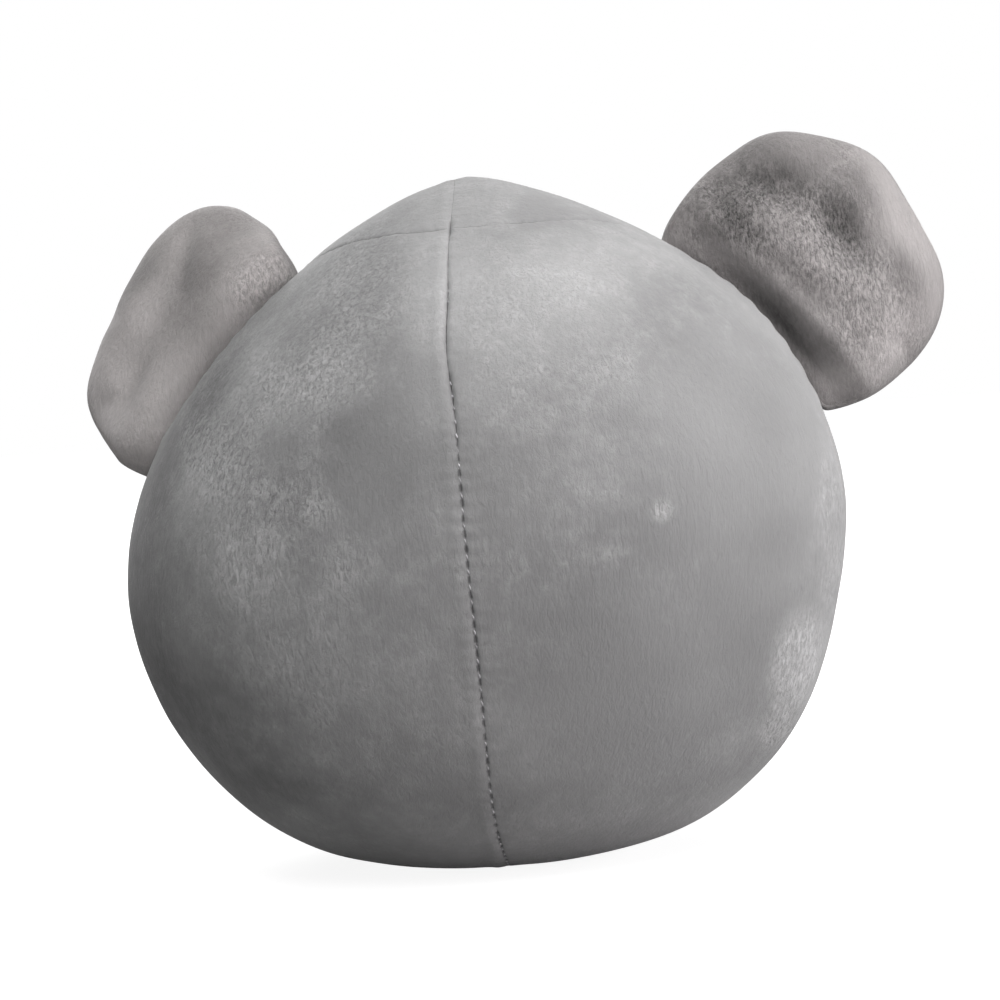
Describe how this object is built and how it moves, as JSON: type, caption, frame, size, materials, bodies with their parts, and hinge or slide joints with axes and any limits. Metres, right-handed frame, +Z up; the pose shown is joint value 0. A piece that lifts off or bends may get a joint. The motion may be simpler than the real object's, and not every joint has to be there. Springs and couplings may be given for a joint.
{
  "type": "stuffed elephant toy",
  "caption": "Ball-shaped stuffed elephant in short-pile grey plush, with sewn panels over a fibre filling, floppy padded ears in the crown seam and a soft bent trunk.",
  "frame": {"origin": "on the seat plane, under the middle of the body, where the seams cross", "axes": "+Z up, the face looks along -Y, and the toy's own left side is +X"},
  "size_m": [0.2296, 0.198, 0.1799],
  "materials": {
    "plush": "short-pile brushed plush",
    "ear_plush": "short-pile brushed plush, a little warmer",
    "fibre": "loose polyester fibre",
    "thread": "twisted polyester sewing thread",
    "eye_plastic": "polished black",
    "washer_plastic": "moulded, unpainted"
  },
  "bodies": {
    "body": {"back_panel_left": "plush", "back_panel_right": "plush", "front_panel_left": "plush", "front_panel_right": "plush", "body_filling": "fibre", "left_eye": "eye_plastic", "right_eye": "eye_plastic", "left_eye_washer": "washer_plastic", "right_eye_washer": "washer_plastic", "back_seam_thread": "thread", "brow_seam_thread": "thread", "chin_seam_thread": "thread", "crown_seam_thread": "thread", "left_side_seam_thread": "thread", "right_side_seam_thread": "thread"},
    "left_ear": {"left_ear_front": "ear_plush", "left_ear_back": "ear_plush", "left_ear_wadding": "fibre"},
    "right_ear": {"right_ear_front": "ear_plush", "right_ear_back": "ear_plush", "right_ear_wadding": "fibre"},
    "trunk": {"trunk_left": "plush", "trunk_right": "plush", "trunk_filling": "fibre"}
  },
  "joints": [
    {"name": "left_ear_flop", "type": "hinge", "parent": "body", "child": "left_ear", "pos_m": [0.06961, 0, 0.13036], "axis": [0.6491, 0, -0.7607], "range_deg": [-95, 18], "stiffness_Nm_per_rad": 0.03},
    {"name": "right_ear_flop", "type": "hinge", "parent": "body", "child": "right_ear", "pos_m": [-0.07422, 0, 0.13385], "axis": [0.6408, 0, 0.7677], "range_deg": [-60, 52], "stiffness_Nm_per_rad": 0.03},
    {"name": "trunk_bend", "type": "hinge", "parent": "body", "child": "trunk", "pos_m": [0.00251, -0.07385, 0.07645], "axis": [1, 0, 0], "range_deg": [-30, 15], "stiffness_Nm_per_rad": 0.04}
  ]
}
